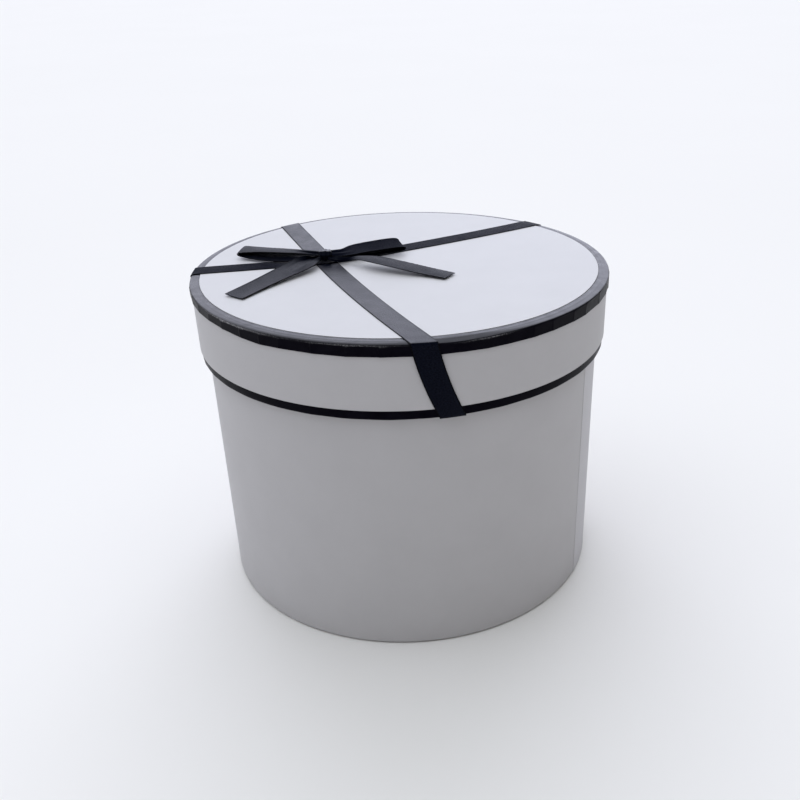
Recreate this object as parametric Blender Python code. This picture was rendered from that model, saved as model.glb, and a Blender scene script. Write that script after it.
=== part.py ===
"""Round paper-covered hat box with a lift-off lid, black edgings and a ribbon bow.

Frame: metres, +Z up, origin at the middle of the underside.  The front is towards -Y.
The base pieces are drawn in the box's own frame.  The lid pieces are drawn in a lid frame,
whose origin is the middle of the lid's top face, and hang from an empty on the lifting axis.
"""
import math

import bmesh
import bpy
from mathutils import Vector

MM = 0.001

# --- driving dimensions (millimetres, turned into metres by MM) ----------------------------
TOTAL_HEIGHT = 174.4 * MM          # underside to the lid's top face, without the bow
RIM_RADIUS = 112.7 * MM            # widest circle, round the lid's rim
LID_SIDE_RADIUS = 111.9 * MM       # outside of the lid's white band
BODY_RADIUS = 107.8 * MM           # outside of the base
LID_DEPTH = 38.4 * MM              # top face to the lower edge of the lid
RIM_EDGING_DROP = 6.2 * MM         # black rim edging seen on the lid's side
HEM_EDGING_SHOWN = 5.1 * MM        # black hem edging seen below the white band
TOP_PAPER_RADIUS = 107.7 * MM      # white top disc, which leaves a black ring round it
TOP_PAPER_SHIFT = Vector((-0.3, 2.4, 0.0)) * MM    # the disc is pasted a little off the middle
RIBBON_WIDTH = 12.0 * MM

# --- stock ---------------------------------------------------------------------------------
GAP = 0.3 * MM                     # glue line between two layers
PAPER = 0.3 * MM                   # covering papers
EDGING = 0.35 * MM                 # black edging
RIBBON = 0.35 * MM                 # satin ribbon
WALL_BOARD = 1.8 * MM              # rolled wall of the base
LID_BOARD = 1.2 * MM               # rolled wall of the lid
DISC_BOARD = 2.0 * MM              # floor and lid discs
SEGMENTS = 60                      # facets round the box, with corners on the X and Y axes
SMOOTH_ANGLE = math.radians(30.0)  # sharper edges than this stay sharp in the shading

# --- turned-in margins of the papers -------------------------------------------------------
WRAP_TURN_IN = 12.0 * MM           # base wrap, folded over the mouth
WRAP_TURN_UNDER = 12.0 * MM        # base wrap, folded under the floor
UNDERSIDE_MARGIN = 4.4 * MM        # from the base's outside to the edge of the underside disc
HEM_OVERLAP = 3.4 * MM             # hem edging hidden under the white band
HEM_TURN_IN = 10.0 * MM            # hem edging folded inside the lid
RIBBON_TUCK = 16.0 * MM            # ribbon ends glued inside the lid

# --- shape of the lid's rim ----------------------------------------------------------------
SHOULDER = 0.5 * MM                # rounding of the black cover where it turns down
BOARD_EASE = 0.3 * MM              # top corner of the lid's disc

# --- ribbons on the lid, angles from +X ----------------------------------------------------
KNOT = Vector((-42.0, 10.6, 0.0)) * MM
LONG_RIBBON_ANGLES = (108.7, 292.5)    # towards the back rim and the front rim
CROSS_RIBBON_ANGLES = (27.4, 187.6)    # towards the right rim and the left rim
CROSS_RIBBON_HUMP = 0.7 * MM           # rise of the cross ribbon over the long one
HUMP_FLAT = 8.0 * MM                   # reach of the full rise, each side of the knot
HUMP_SLOPE = 12.0 * MM                 # run over which it comes down
STEP_START = 0.4 * MM                  # past the white disc's edge, where the ribbon steps down
STEP_RUN = 4.0 * MM                    # run over which it settles on the black ring
TOP_SHARES = (0.0, 0.05, 0.09, 0.13, 0.17, 0.21, 0.26, 0.5, 0.8, 0.9, 0.95, 0.98)
SIDE_STEPS = 5                         # rows of a ribbon down the lid's side

# --- knot of the bow: a short barrel lying along X -----------------------------------------
KNOT_HALF_LENGTH = 3.3 * MM
KNOT_HALF_DEPTH = 4.0 * MM
KNOT_HALF_HEIGHT = 2.2 * MM
KNOT_MIDDLE_HEIGHT = 3.9 * MM
KNOT_SHIFT = -0.6 * MM                 # along Y, from the crossing of the ribbons
KNOT_SIDES = 12
KNOT_RINGS = ((-1.0, 0.72), (-0.55, 0.94), (0.0, 1.0), (0.55, 0.94), (1.0, 0.72))

# --- finishes: base colour and roughness ----------------------------------------------------
WHITE_WRAP = ((0.80, 0.81, 0.84), 0.55)
WHITE_LID_PAPER = ((0.82, 0.83, 0.86), 0.5)
LINING_PAPER = ((0.86, 0.86, 0.85), 0.7)
GREY_BOARD = ((0.42, 0.39, 0.35), 0.9)
BLACK_EDGING = ((0.015, 0.015, 0.018), 0.35)
BLACK_SATIN = ((0.012, 0.013, 0.020), 0.4)


def clear_scene():
    for old in list(bpy.data.objects):
        bpy.data.objects.remove(old, do_unlink=True)


def finish_object(name, bm, finish, parent=None):
    """Turn a bmesh into a named object with its own material."""
    colour, roughness = finish
    bmesh.ops.recalc_face_normals(bm, faces=bm.faces)
    mesh = bpy.data.meshes.new(name)
    bm.to_mesh(mesh)
    bm.free()
    mesh.shade_smooth()
    mesh.set_sharp_from_angle(angle=SMOOTH_ANGLE)
    material = bpy.data.materials.new(name)
    material.use_nodes = True
    shader = material.node_tree.nodes["Principled BSDF"]
    shader.inputs["Base Color"].default_value = (*colour, 1.0)
    shader.inputs["Roughness"].default_value = roughness
    shader.inputs["Metallic"].default_value = 0.0
    mesh.materials.append(material)
    obj = bpy.data.objects.new(name, mesh)
    bpy.context.scene.collection.objects.link(obj)
    obj.parent = parent


def turned(name, profile, finish, parent=None, shift=Vector((0.0, 0.0, 0.0))):
    """Revolve a closed profile of (radius, height) points about Z, or about a line off to its side.

    Points on the axis become one vertex, so a disc's profile may start and end there.
    """
    bm = bmesh.new()
    rings = []
    for radius, height in profile:
        if radius == 0.0:
            rings.append([bm.verts.new((0.0, 0.0, height))] * SEGMENTS)
            continue
        ring = []
        for step in range(SEGMENTS):
            turn = 2.0 * math.pi * step / SEGMENTS
            ring.append(bm.verts.new((radius * math.cos(turn), radius * math.sin(turn), height)))
        rings.append(ring)
    for this, after in zip(rings, rings[1:] + rings[:1]):
        if this[0] is this[1] and after[0] is after[1]:
            continue
        for step in range(SEGMENTS):
            follow = (step + 1) % SEGMENTS
            corners = [this[step], this[follow], after[follow], after[step]]
            bm.faces.new(list(dict.fromkeys(corners)))
    bmesh.ops.translate(bm, verts=bm.verts, vec=shift)
    finish_object(name, bm, finish, parent)


def tube_profile(inner, outer, low, high):
    return [(outer, low), (outer, high), (inner, high), (inner, low)]


def disc_profile(radius, low, high):
    return [(0.0, low), (radius, low), (radius, high), (0.0, high)]


# --- base: heights are measured up from the underside ---------------------------------------
BASE_HEIGHT = TOTAL_HEIGHT - (PAPER + GAP + EDGING + GAP + DISC_BOARD + GAP + PAPER + GAP)
WRAP_BOTTOM = PAPER + GAP
BOARD_BOTTOM = WRAP_BOTTOM + PAPER + GAP
WALL_OUTER = BODY_RADIUS - PAPER - GAP
WALL_INNER = WALL_OUTER - WALL_BOARD
LINING_OUTER = WALL_INNER - GAP
LINING_INNER = LINING_OUTER - PAPER
FLOOR_BOARD_TOP = BOARD_BOTTOM + DISC_BOARD
FLOOR_LINING_BOTTOM = FLOOR_BOARD_TOP + GAP


def base_wall_board():
    """Rolled greyboard tube that carries the box."""
    top = BASE_HEIGHT - PAPER - GAP
    turned("base_wall_board", tube_profile(WALL_INNER, WALL_OUTER, BOARD_BOTTOM, top),
           GREY_BOARD)


def base_floor_board():
    """Greyboard disc set inside the wall's lower end."""
    turned("base_floor_board", disc_profile(LINING_OUTER, BOARD_BOTTOM, FLOOR_BOARD_TOP),
           GREY_BOARD)


def base_outer_wrap():
    """White paper round the wall, folded in over the mouth and under the floor."""
    mouth_low = BASE_HEIGHT - WRAP_TURN_IN
    under_inner = BODY_RADIUS - WRAP_TURN_UNDER
    fold = BODY_RADIUS - PAPER
    profile = [
        (BODY_RADIUS, WRAP_BOTTOM),
        (BODY_RADIUS, BASE_HEIGHT),
        (LINING_INNER, BASE_HEIGHT),
        (LINING_INNER, mouth_low),
        (LINING_OUTER, mouth_low),
        (LINING_OUTER, BASE_HEIGHT - PAPER),
        (fold, BASE_HEIGHT - PAPER),
        (fold, WRAP_BOTTOM + PAPER),
        (under_inner, WRAP_BOTTOM + PAPER),
        (under_inner, WRAP_BOTTOM),
    ]
    turned("base_outer_wrap", profile, WHITE_WRAP)


def base_inner_lining():
    """White paper inside the wall, from the floor to the wrap's folded-in edge."""
    top = BASE_HEIGHT - WRAP_TURN_IN - GAP
    turned("base_inner_lining",
           tube_profile(LINING_INNER, LINING_OUTER, FLOOR_LINING_BOTTOM, top), LINING_PAPER)


def base_floor_lining():
    """White paper disc on the floor board."""
    turned("base_floor_lining",
           disc_profile(LINING_INNER - GAP, FLOOR_LINING_BOTTOM, FLOOR_LINING_BOTTOM + PAPER),
           LINING_PAPER)


def base_underside_paper():
    """White paper disc that covers the folded-under edge; the box stands on it."""
    turned("base_underside_paper", disc_profile(BODY_RADIUS - UNDERSIDE_MARGIN, 0.0, PAPER),
           WHITE_WRAP)


# --- lid: heights are measured down from the lid's top face ---------------------------------
COVER_TOP = -PAPER - GAP
COVER_BOTTOM = COVER_TOP - EDGING
TOP_BOARD_TOP = COVER_BOTTOM - GAP
TOP_BOARD_BOTTOM = TOP_BOARD_TOP - DISC_BOARD
TOP_BOARD_RADIUS = RIM_RADIUS - EDGING - GAP
LID_WALL_TOP = TOP_BOARD_BOTTOM - GAP
LID_BOTTOM = -LID_DEPTH
BAND_INNER = LID_SIDE_RADIUS - PAPER
HEM_OUTER = BAND_INNER - GAP
LID_WALL_OUTER = HEM_OUTER - PAPER - GAP
LID_WALL_INNER = LID_WALL_OUTER - LID_BOARD
LID_LINING_OUTER = LID_WALL_INNER - GAP
LID_LINING_INNER = LID_LINING_OUTER - PAPER


def lid_top_board(lid):
    """Greyboard disc, a little wider than the lid's wall, with its top corner eased."""
    profile = [
        (0.0, TOP_BOARD_BOTTOM),
        (TOP_BOARD_RADIUS, TOP_BOARD_BOTTOM),
        (TOP_BOARD_RADIUS, TOP_BOARD_TOP - BOARD_EASE),
        (TOP_BOARD_RADIUS - BOARD_EASE, TOP_BOARD_TOP),
        (0.0, TOP_BOARD_TOP),
    ]
    turned("lid_top_board", profile, GREY_BOARD, lid)


def lid_wall_board(lid):
    """Rolled greyboard ring under the top disc."""
    turned("lid_wall_board",
           tube_profile(LID_WALL_INNER, LID_WALL_OUTER, LID_BOTTOM + PAPER + GAP, LID_WALL_TOP),
           GREY_BOARD, lid)


def lid_black_cover(lid):
    """Black paper over the top disc, its edge folded down as the rim edging."""
    skirt_inner = LID_SIDE_RADIUS + GAP
    overhang = TOP_BOARD_BOTTOM - GAP / 3.0
    corner = SHOULDER * (1.0 - math.sqrt(0.5))
    profile = [
        (0.0, COVER_TOP),
        (RIM_RADIUS - SHOULDER, COVER_TOP),
        (RIM_RADIUS - corner, COVER_TOP - corner),
        (RIM_RADIUS, COVER_TOP - SHOULDER),
        (RIM_RADIUS, overhang),
        (skirt_inner + EDGING, -RIM_EDGING_DROP),
        (skirt_inner, -RIM_EDGING_DROP),
        (RIM_RADIUS - EDGING, overhang),
        (RIM_RADIUS - EDGING, COVER_TOP - SHOULDER),
        (RIM_RADIUS - SHOULDER, COVER_BOTTOM),
        (0.0, COVER_BOTTOM),
    ]
    turned("lid_black_cover", profile, BLACK_EDGING, lid)


def lid_top_paper(lid):
    """White disc on the black cover, leaving a black ring round it."""
    turned("lid_top_paper", disc_profile(TOP_PAPER_RADIUS, -PAPER, 0.0), WHITE_LID_PAPER, lid,
           TOP_PAPER_SHIFT)


def lid_side_paper(lid):
    """White band round the lid's wall, over the hem edging's upper part."""
    turned("lid_side_paper",
           tube_profile(BAND_INNER, LID_SIDE_RADIUS, LID_BOTTOM + HEM_EDGING_SHOWN, LID_WALL_TOP),
           WHITE_LID_PAPER, lid)


def lid_hem_edging(lid):
    """Black paper folded round the lid's lower edge."""
    outer_high = LID_BOTTOM + HEM_EDGING_SHOWN + HEM_OVERLAP
    inner_high = LID_BOTTOM + HEM_TURN_IN
    profile = [
        (HEM_OUTER, LID_BOTTOM),
        (HEM_OUTER, outer_high),
        (HEM_OUTER - PAPER, outer_high),
        (HEM_OUTER - PAPER, LID_BOTTOM + PAPER),
        (LID_LINING_OUTER, LID_BOTTOM + PAPER),
        (LID_LINING_OUTER, inner_high),
        (LID_LINING_INNER, inner_high),
        (LID_LINING_INNER, LID_BOTTOM),
    ]
    turned("lid_hem_edging", profile, BLACK_EDGING, lid)


def lid_inner_lining(lid):
    """White paper inside the lid's wall, above the folded-in hem."""
    low = LID_BOTTOM + HEM_TURN_IN + GAP
    turned("lid_inner_lining", tube_profile(LID_LINING_INNER, LID_LINING_OUTER, low, LID_WALL_TOP),
           LINING_PAPER, lid)


def lid_ceiling_lining(lid):
    """White paper disc under the top board, which rests on the base's mouth."""
    high = TOP_BOARD_BOTTOM - GAP
    turned("lid_ceiling_lining", disc_profile(LID_LINING_INNER - GAP, high - PAPER, high),
           LINING_PAPER, lid)


# --- ribbons --------------------------------------------------------------------------------
def sheet_solid(name, inner, outer, parent):
    """Close two matching grids of points, rows along and columns across, into one thin ribbon solid."""
    bm = bmesh.new()
    grids = [[[bm.verts.new(p) for p in row] for row in grid] for grid in (inner, outer)]
    rows = len(inner)
    columns = len(inner[0])
    for grid in grids:
        for i in range(rows - 1):
            for j in range(columns - 1):
                bm.faces.new((grid[i][j], grid[i + 1][j], grid[i + 1][j + 1], grid[i][j + 1]))
    border = [(i, 0) for i in range(rows)]
    border += [(rows - 1, j) for j in range(1, columns)]
    border += [(i, columns - 1) for i in range(rows - 2, -1, -1)]
    border += [(0, j) for j in range(columns - 2, 0, -1)]
    for (i, j), (k, m) in zip(border, border[1:] + border[:1]):
        bm.faces.new((grids[0][i][j], grids[0][k][m], grids[1][k][m], grids[1][i][j]))
    finish_object(name, bm, BLACK_SATIN, parent)


def rim_profile():
    """Inside face of a ribbon past the rim: (radius, height, outward part, upward part).

    The ribbon turns down over the rim, runs taut to the hem, turns under it and ends inside.
    """
    half = math.sqrt(0.5)
    rim_side = RIM_RADIUS + GAP
    hem_side = LID_SIDE_RADIUS + GAP
    tuck_side = LID_LINING_INNER - 0.4 * MM
    under = LID_BOTTOM - GAP
    corner = under + 0.1 * MM
    points = [
        (RIM_RADIUS - 0.8 * MM, COVER_TOP + GAP, 0.0, 1.0),
        (RIM_RADIUS, COVER_TOP - 0.1 * MM, half, half),
        (rim_side, COVER_TOP - 1.0 * MM, 1.0, 0.0),
    ]
    side_high = COVER_TOP - 2.6 * MM
    side_low = LID_BOTTOM + 0.6 * MM
    for step in range(SIDE_STEPS + 1):
        share = step / SIDE_STEPS
        radius = rim_side * (1.0 - share) + hem_side * share
        height = side_high * (1.0 - share) + side_low * share
        points.append((radius, height, 1.0, 0.0))
    points += [
        (hem_side - 0.2 * MM, corner, half, -half),
        (HEM_OUTER - 0.8 * MM, under, 0.0, -1.0),
        (tuck_side + 0.9 * MM, under, 0.0, -1.0),
        (tuck_side + 0.1 * MM, corner, -half, -half),
        (tuck_side, LID_BOTTOM + 1.0 * MM, -1.0, 0.0),
        (tuck_side, LID_BOTTOM + RIBBON_TUCK, -1.0, 0.0),
    ]
    return points


def half_ribbon(angle, mitre, hump):
    """Rows of one ribbon from the knot, over the rim and under the lid's lower edge.

    Each row has three (inside point, normal) pairs across the width.  The ribbon runs straight
    over the top, and keeps its slant to the rim as it goes down the side.
    """
    along = Vector((math.cos(angle), math.sin(angle), 0.0))
    across = Vector((-along.y, along.x, 0.0))
    past_rim = rim_profile()
    rim = past_rim[0][0]
    turn = math.asin(KNOT.dot(across) / rim)
    slant = math.tan(-turn)
    offsets = (-RIBBON_WIDTH / 2, 0.0, RIBBON_WIDTH / 2)

    def on_top(offset, share):
        """Point over the lid's top, from the knot (0) to the rim (1)."""
        start = KNOT + mitre * offset
        start_along = start.dot(along)
        side = start.dot(across)
        end_along = math.sqrt(rim * rim - side * side)
        here = start_along * (1.0 - share) + end_along * share
        point = along * here + across * side
        fade = min(max((here - start_along - HUMP_FLAT) / HUMP_SLOPE, 0.0), 1.0)
        lift = hump * (1.0 - fade * fade * (3.0 - 2.0 * fade))
        past_disc = (point - TOP_PAPER_SHIFT).length - TOP_PAPER_RADIUS - STEP_START
        drop = min(max(past_disc / STEP_RUN, 0.0), 1.0)
        point.z = GAP + lift + COVER_TOP * drop
        return point

    rows = []
    for share in TOP_SHARES:
        rows.append([(on_top(offset, share), Vector((0.0, 0.0, 1.0))) for offset in offsets])
    travelled = 0.0
    last = past_rim[0]
    for station in past_rim:
        radius, height, outward, upward = station
        travelled += math.hypot(radius - last[0], height - last[1])
        last = station
        row = []
        for offset in offsets:
            side = KNOT.dot(across) + offset
            bearing = math.atan2(along.y, along.x) + math.asin(side / rim)
            bearing += slant * travelled / RIM_RADIUS
            radial = Vector((math.cos(bearing), math.sin(bearing), 0.0))
            point = radial * radius
            point.z = height
            row.append((point, radial * outward + Vector((0.0, 0.0, upward))))
        rows.append(row)
    return rows


def lid_ribbon(name, angles, hump, lid):
    """One ribbon across the lid: two straight halves that meet in a mitre at the knot."""
    first, second = (math.radians(angle) for angle in angles)
    first_across = Vector((-math.sin(first), math.cos(first), 0.0))
    second_across = Vector((-math.sin(second), math.cos(second), 0.0))
    mitre = (first_across - second_across) / (1.0 - first_across.dot(second_across))
    rows = half_ribbon(first, mitre, hump)
    other = half_ribbon(second, -mitre, hump)
    rows = [list(reversed(row)) for row in reversed(other)][:-1] + rows
    inner = [[point for point, _normal in row] for row in rows]
    outer = [[point + normal * RIBBON for point, normal in row] for row in rows]
    sheet_solid(name, inner, outer, lid)


# --- bow: millimetres from the middle of the lid's top face ---------------------------------
# Each piece is drawn by its far edge and its near edge, with matching points along them.
LEFT_LOOP_FAR = [(-45.8, 13.6, 5.0), (-53.0, 17.0, 4.6), (-62.0, 20.0, 4.9), (-73.6, 24.3, 4.6),
                 (-82.5, 28.6, 4.5), (-88.0, 31.9, 4.2), (-88.9, 32.3, 2.9), (-86.6, 31.6, 1.9),
                 (-74.0, 26.5, 1.6), (-60.0, 19.0, 1.6), (-45.8, 12.4, 2.9)]
LEFT_LOOP_NEAR = [(-45.8, 9.4, 4.8), (-52.4, 10.4, 5.0), (-61.0, 10.2, 5.5), (-72.2, 12.6, 5.4),
                  (-81.0, 16.4, 4.8), (-90.6, 20.0, 3.8), (-91.6, 20.2, 2.6), (-89.6, 19.6, 1.5),
                  (-77.6, 14.2, 1.3), (-62.0, 8.4, 1.6), (-45.8, 9.6, 2.6)]
RIGHT_LOOP_FAR = [(-38.2, 13.8, 5.0), (-31.6, 17.2, 5.2), (-25.6, 20.9, 6.0), (-16.4, 24.8, 6.9),
                  (-6.5, 28.0, 7.1), (-2.0, 29.0, 6.7), (-1.2, 30.4, 4.6), (-3.6, 31.6, 2.2),
                  (-18.2, 27.2, 1.3), (-28.0, 21.0, 1.5), (-38.2, 12.4, 2.9)]
RIGHT_LOOP_NEAR = [(-38.2, 10.6, 4.8), (-28.5, 12.0, 4.4), (-20.4, 11.2, 4.0), (-12.6, 13.0, 4.5),
                   (-4.0, 16.2, 4.8), (2.4, 18.2, 4.4), (3.3, 19.8, 3.0), (1.2, 21.0, 1.6),
                   (-13.5, 16.2, 1.3), (-24.0, 12.4, 1.5), (-38.2, 10.0, 2.7)]
LEFT_TAIL_FAR = [(-46.0, 8.4, 4.1), (-51.0, 6.6, 4.4), (-57.4, 1.6, 4.0), (-66.7, -10.1, 3.2),
                 (-78.0, -26.8, 2.0), (-88.7, -42.3, 1.3)]
LEFT_TAIL_NEAR = [(-46.0, 5.4, 3.0), (-47.0, -0.6, 1.8), (-50.0, -7.2, 1.5), (-57.2, -17.0, 1.4),
                  (-68.4, -32.8, 1.1), (-78.8, -48.9, 0.8)]
RIGHT_TAIL_FAR = [(-38.2, 8.6, 4.4), (-29.0, 5.4, 4.8), (-21.4, 2.4, 5.0), (-10.7, 1.0, 4.6),
                  (4.5, -6.1, 3.0), (16.5, -12.0, 1.6), (28.6, -18.9, 0.9)]
RIGHT_TAIL_NEAR = [(-38.2, 5.6, 3.4), (-30.0, 1.0, 4.2), (-23.0, -3.6, 4.7), (-13.0, -11.0, 4.6),
                   (0.5, -17.8, 3.0), (11.5, -22.6, 1.6), (22.9, -27.9, 0.9)]


def smooth_through(points):
    """Catmull-Rom curve through the points, with one more point between each two."""
    spread = [Vector(point) * MM for point in points]
    guard = [spread[0] * 2.0 - spread[1]] + spread + [spread[-1] * 2.0 - spread[-2]]
    curve = []
    for before, start, end, after in zip(guard, guard[1:], guard[2:], guard[3:]):
        curve.append(start)
        curve.append((9.0 * (start + end) - before - after) / 16.0)
    curve.append(spread[-1])
    return curve


def bow_piece(name, far_edge, near_edge, lid):
    """A piece of ribbon between two edge curves, thickened evenly to both sides."""
    far = smooth_through(far_edge)
    near = smooth_through(near_edge)
    centre = [(a + b) / 2.0 for a, b in zip(far, near)]
    inner = []
    outer = []
    for index, (a, b) in enumerate(zip(far, near)):
        ahead = centre[min(index + 1, len(centre) - 1)] - centre[max(index - 1, 0)]
        normal = ahead.cross(a - b).normalized() * (RIBBON / 2.0)
        row = [a, (a + b) / 2.0, b]
        inner.append([point - normal for point in row])
        outer.append([point + normal for point in row])
    sheet_solid(name, inner, outer, lid)


def bow_knot(lid):
    """The wrapped middle of the bow, over the crossing of the ribbons."""
    bm = bmesh.new()
    rings = []
    for share, swell in KNOT_RINGS:
        ring = []
        for step in range(KNOT_SIDES):
            turn = 2.0 * math.pi * step / KNOT_SIDES
            depth = KNOT_HALF_DEPTH * swell * math.cos(turn)
            height = KNOT_HALF_HEIGHT * swell * math.sin(turn)
            ring.append(bm.verts.new((KNOT.x + share * KNOT_HALF_LENGTH,
                                      KNOT.y + KNOT_SHIFT + depth,
                                      KNOT_MIDDLE_HEIGHT + height)))
        rings.append(ring)
    for this, after in zip(rings, rings[1:]):
        for step in range(KNOT_SIDES):
            follow = (step + 1) % KNOT_SIDES
            bm.faces.new((this[step], this[follow], after[follow], after[step]))
    bm.faces.new(rings[0])
    bm.faces.new(rings[-1])
    finish_object("bow_knot", bm, BLACK_SATIN, lid)


def main():
    clear_scene()
    lid = bpy.data.objects.new("lid_lift_axis", None)
    lid.location = (0.0, 0.0, TOTAL_HEIGHT)
    bpy.context.scene.collection.objects.link(lid)

    base_wall_board()
    base_floor_board()
    base_outer_wrap()
    base_inner_lining()
    base_floor_lining()
    base_underside_paper()

    lid_top_board(lid)
    lid_wall_board(lid)
    lid_black_cover(lid)
    lid_top_paper(lid)
    lid_side_paper(lid)
    lid_hem_edging(lid)
    lid_inner_lining(lid)
    lid_ceiling_lining(lid)

    lid_ribbon("long_ribbon", LONG_RIBBON_ANGLES, 0.0, lid)
    lid_ribbon("cross_ribbon", CROSS_RIBBON_ANGLES, CROSS_RIBBON_HUMP, lid)
    bow_knot(lid)
    bow_piece("bow_left_loop", LEFT_LOOP_FAR, LEFT_LOOP_NEAR, lid)
    bow_piece("bow_right_loop", RIGHT_LOOP_FAR, RIGHT_LOOP_NEAR, lid)
    bow_piece("bow_left_tail", LEFT_TAIL_FAR, LEFT_TAIL_NEAR, lid)
    bow_piece("bow_right_tail", RIGHT_TAIL_FAR, RIGHT_TAIL_NEAR, lid)


main()
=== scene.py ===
"""Looks of a round paper-covered hat box: white papers, glossy black edgings, satin ribbons, a bow.

The box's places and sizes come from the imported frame.  Paper and ribbon are thin closed sheets,
folded as the real ones are.  The bow is drawn through lists of points, which are explained there.
"""
import math
import random

import bmesh
import bpy
from mathutils import Matrix, Vector, noise


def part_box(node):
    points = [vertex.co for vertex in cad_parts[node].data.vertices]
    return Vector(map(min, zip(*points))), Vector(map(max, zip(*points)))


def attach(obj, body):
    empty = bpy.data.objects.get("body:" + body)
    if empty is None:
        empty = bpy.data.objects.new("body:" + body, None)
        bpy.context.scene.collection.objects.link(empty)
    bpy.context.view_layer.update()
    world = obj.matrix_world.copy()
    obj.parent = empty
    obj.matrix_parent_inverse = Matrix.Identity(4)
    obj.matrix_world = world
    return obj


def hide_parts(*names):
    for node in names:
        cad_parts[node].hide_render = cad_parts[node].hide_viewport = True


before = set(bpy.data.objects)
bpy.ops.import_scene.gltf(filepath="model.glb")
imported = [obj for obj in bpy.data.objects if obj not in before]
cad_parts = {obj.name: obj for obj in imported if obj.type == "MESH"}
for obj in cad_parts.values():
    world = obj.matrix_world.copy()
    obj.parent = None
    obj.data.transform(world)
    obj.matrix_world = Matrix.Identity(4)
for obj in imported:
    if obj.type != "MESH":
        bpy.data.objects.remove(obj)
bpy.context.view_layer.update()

MM = 0.001
TURN = 2.0 * math.pi


# --- places read from the frame ---------------------------------------------------------------
def radius_of(node):
    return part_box(node)[1].x


def top_of(node):
    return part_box(node)[1].z


def bottom_of(node):
    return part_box(node)[0].z


TOP = top_of("lid_top_paper")                  # face of the white disc
PAPER = TOP - bottom_of("lid_top_paper")       # thickness of the covering papers
RING = top_of("lid_black_cover")               # top of the black cover, under the disc
RIM = radius_of("lid_black_cover")
DISC_CENTRE = (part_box("lid_top_paper")[0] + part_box("lid_top_paper")[1]) / 2.0
DISC_CENTRE.z = 0.0
DISC = radius_of("lid_top_paper") - DISC_CENTRE.x
BAND = radius_of("lid_side_paper")
HEM = radius_of("lid_hem_edging")
LID_LOW = bottom_of("lid_hem_edging")
BODY = radius_of("base_outer_wrap")
MOUTH = top_of("base_outer_wrap")
KNOT = (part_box("bow_knot")[0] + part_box("bow_knot")[1]) / 2.0

EDGING = 0.35 * MM                             # thickness of the black cover paper
RIBBON = 0.32 * MM                             # thickness of the satin
RIBBON_WIDTH = 12.0 * MM
STITCH = 1.4 * MM                              # from one loop of the selvage to the next
LYING = 0.04 * MM                              # air between a lying ribbon and the paper
RING_FACE = TOP - 0.12 * MM                    # black ring, pressed up round the white disc

LONG_ANGLES = (108.7, 292.5)                   # bearings of the ribbons from the knot, in degrees
CROSS_ANGLES = (27.4, 187.6)
LONG_BOWS = (0.0, -1.9 * MM)                   # sideways bend of each half over the lid
CROSS_BOWS = (-2.4 * MM, 0.0)
LONG_SIDE_BOWS = (0.0, -1.4 * MM)              # and down the lid's side
CROSS_SIDE_BOWS = (0.0, 0.0)
LONG_HUMP = 0.0                                # rise of each ribbon where the two cross
CROSS_HUMP = 0.5 * MM
RIBBON_TURN_IN = 16.0 * MM                     # length of a ribbon's end inside the lid


# --- small helpers ------------------------------------------------------------------------------
def smoothstep(low, high, value):
    share = min(max((value - low) / (high - low), 0.0), 1.0)
    return share * share * (3.0 - 2.0 * share)


def evenly(count):
    """Angles of a full turn, in equal steps."""
    return [TURN * step / count for step in range(count)]


def filleted(corners, steps=5):
    """Path through (x, y, fillet radius) corners, each corner rounded by an arc."""
    path = []
    for index, (x, y, radius) in enumerate(corners):
        here = Vector((x, y))
        if radius == 0.0:
            path.append(here)
            continue
        back = (Vector(corners[index - 1][:2]) - here).normalized()
        ahead = (Vector(corners[index + 1][:2]) - here).normalized()
        half = back.angle(ahead) / 2.0
        start = here + back * (radius / math.tan(half))
        end = here + ahead * (radius / math.tan(half))
        centre = here + (back + ahead).normalized() * (radius / math.sin(half))
        sweep = math.pi - 2.0 * half
        for step in range(steps + 1):
            share = step / steps
            near_start = math.sin((1.0 - share) * sweep) / math.sin(sweep)
            near_end = math.sin(share * sweep) / math.sin(sweep)
            path.append(centre + (start - centre) * near_start + (end - centre) * near_end)
    return path


def divided(path, spacing, past=0.0):
    """The same path with no step longer than the spacing, beyond a given radius."""
    result = [path[0]]
    for start, end in zip(path, path[1:]):
        steps = max(1, math.ceil((end - start).length / spacing)) if end.x > past else 1
        for step in range(1, steps + 1):
            result.append(start.lerp(end, step / steps))
    return result


def thickened(path, thickness):
    """Closed outline of a sheet whose middle follows the path."""
    sides = ([], [])
    last = len(path) - 1
    for index, point in enumerate(path):
        along = (path[min(index + 1, last)] - path[max(index - 1, 0)]).normalized()
        normal = Vector((-along.y, along.x)) * (thickness / 2.0)
        sides[0].append(point + normal)
        sides[1].append(point - normal)
    return sides[0] + sides[1][::-1]


def make_object(name, points, faces, material, flat=None):
    """Mesh object from points and faces, facing out; flat gives each point's place on the cloth."""
    mesh = bpy.data.meshes.new(name)
    mesh.from_pydata(points, [], faces)
    if flat:
        layer = mesh.uv_layers.new(name="cloth")
        for loop in mesh.loops:
            layer.data[loop.index].uv = flat[loop.vertex_index]
    work = bmesh.new()
    work.from_mesh(mesh)
    bmesh.ops.recalc_face_normals(work, faces=work.faces)
    work.to_mesh(mesh)
    work.free()
    mesh.shade_smooth()
    mesh.set_sharp_from_angle(angle=math.radians(38.0))
    mesh.materials.append(material)
    obj = bpy.data.objects.new(name, mesh)
    bpy.context.scene.collection.objects.link(obj)
    return obj


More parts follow.
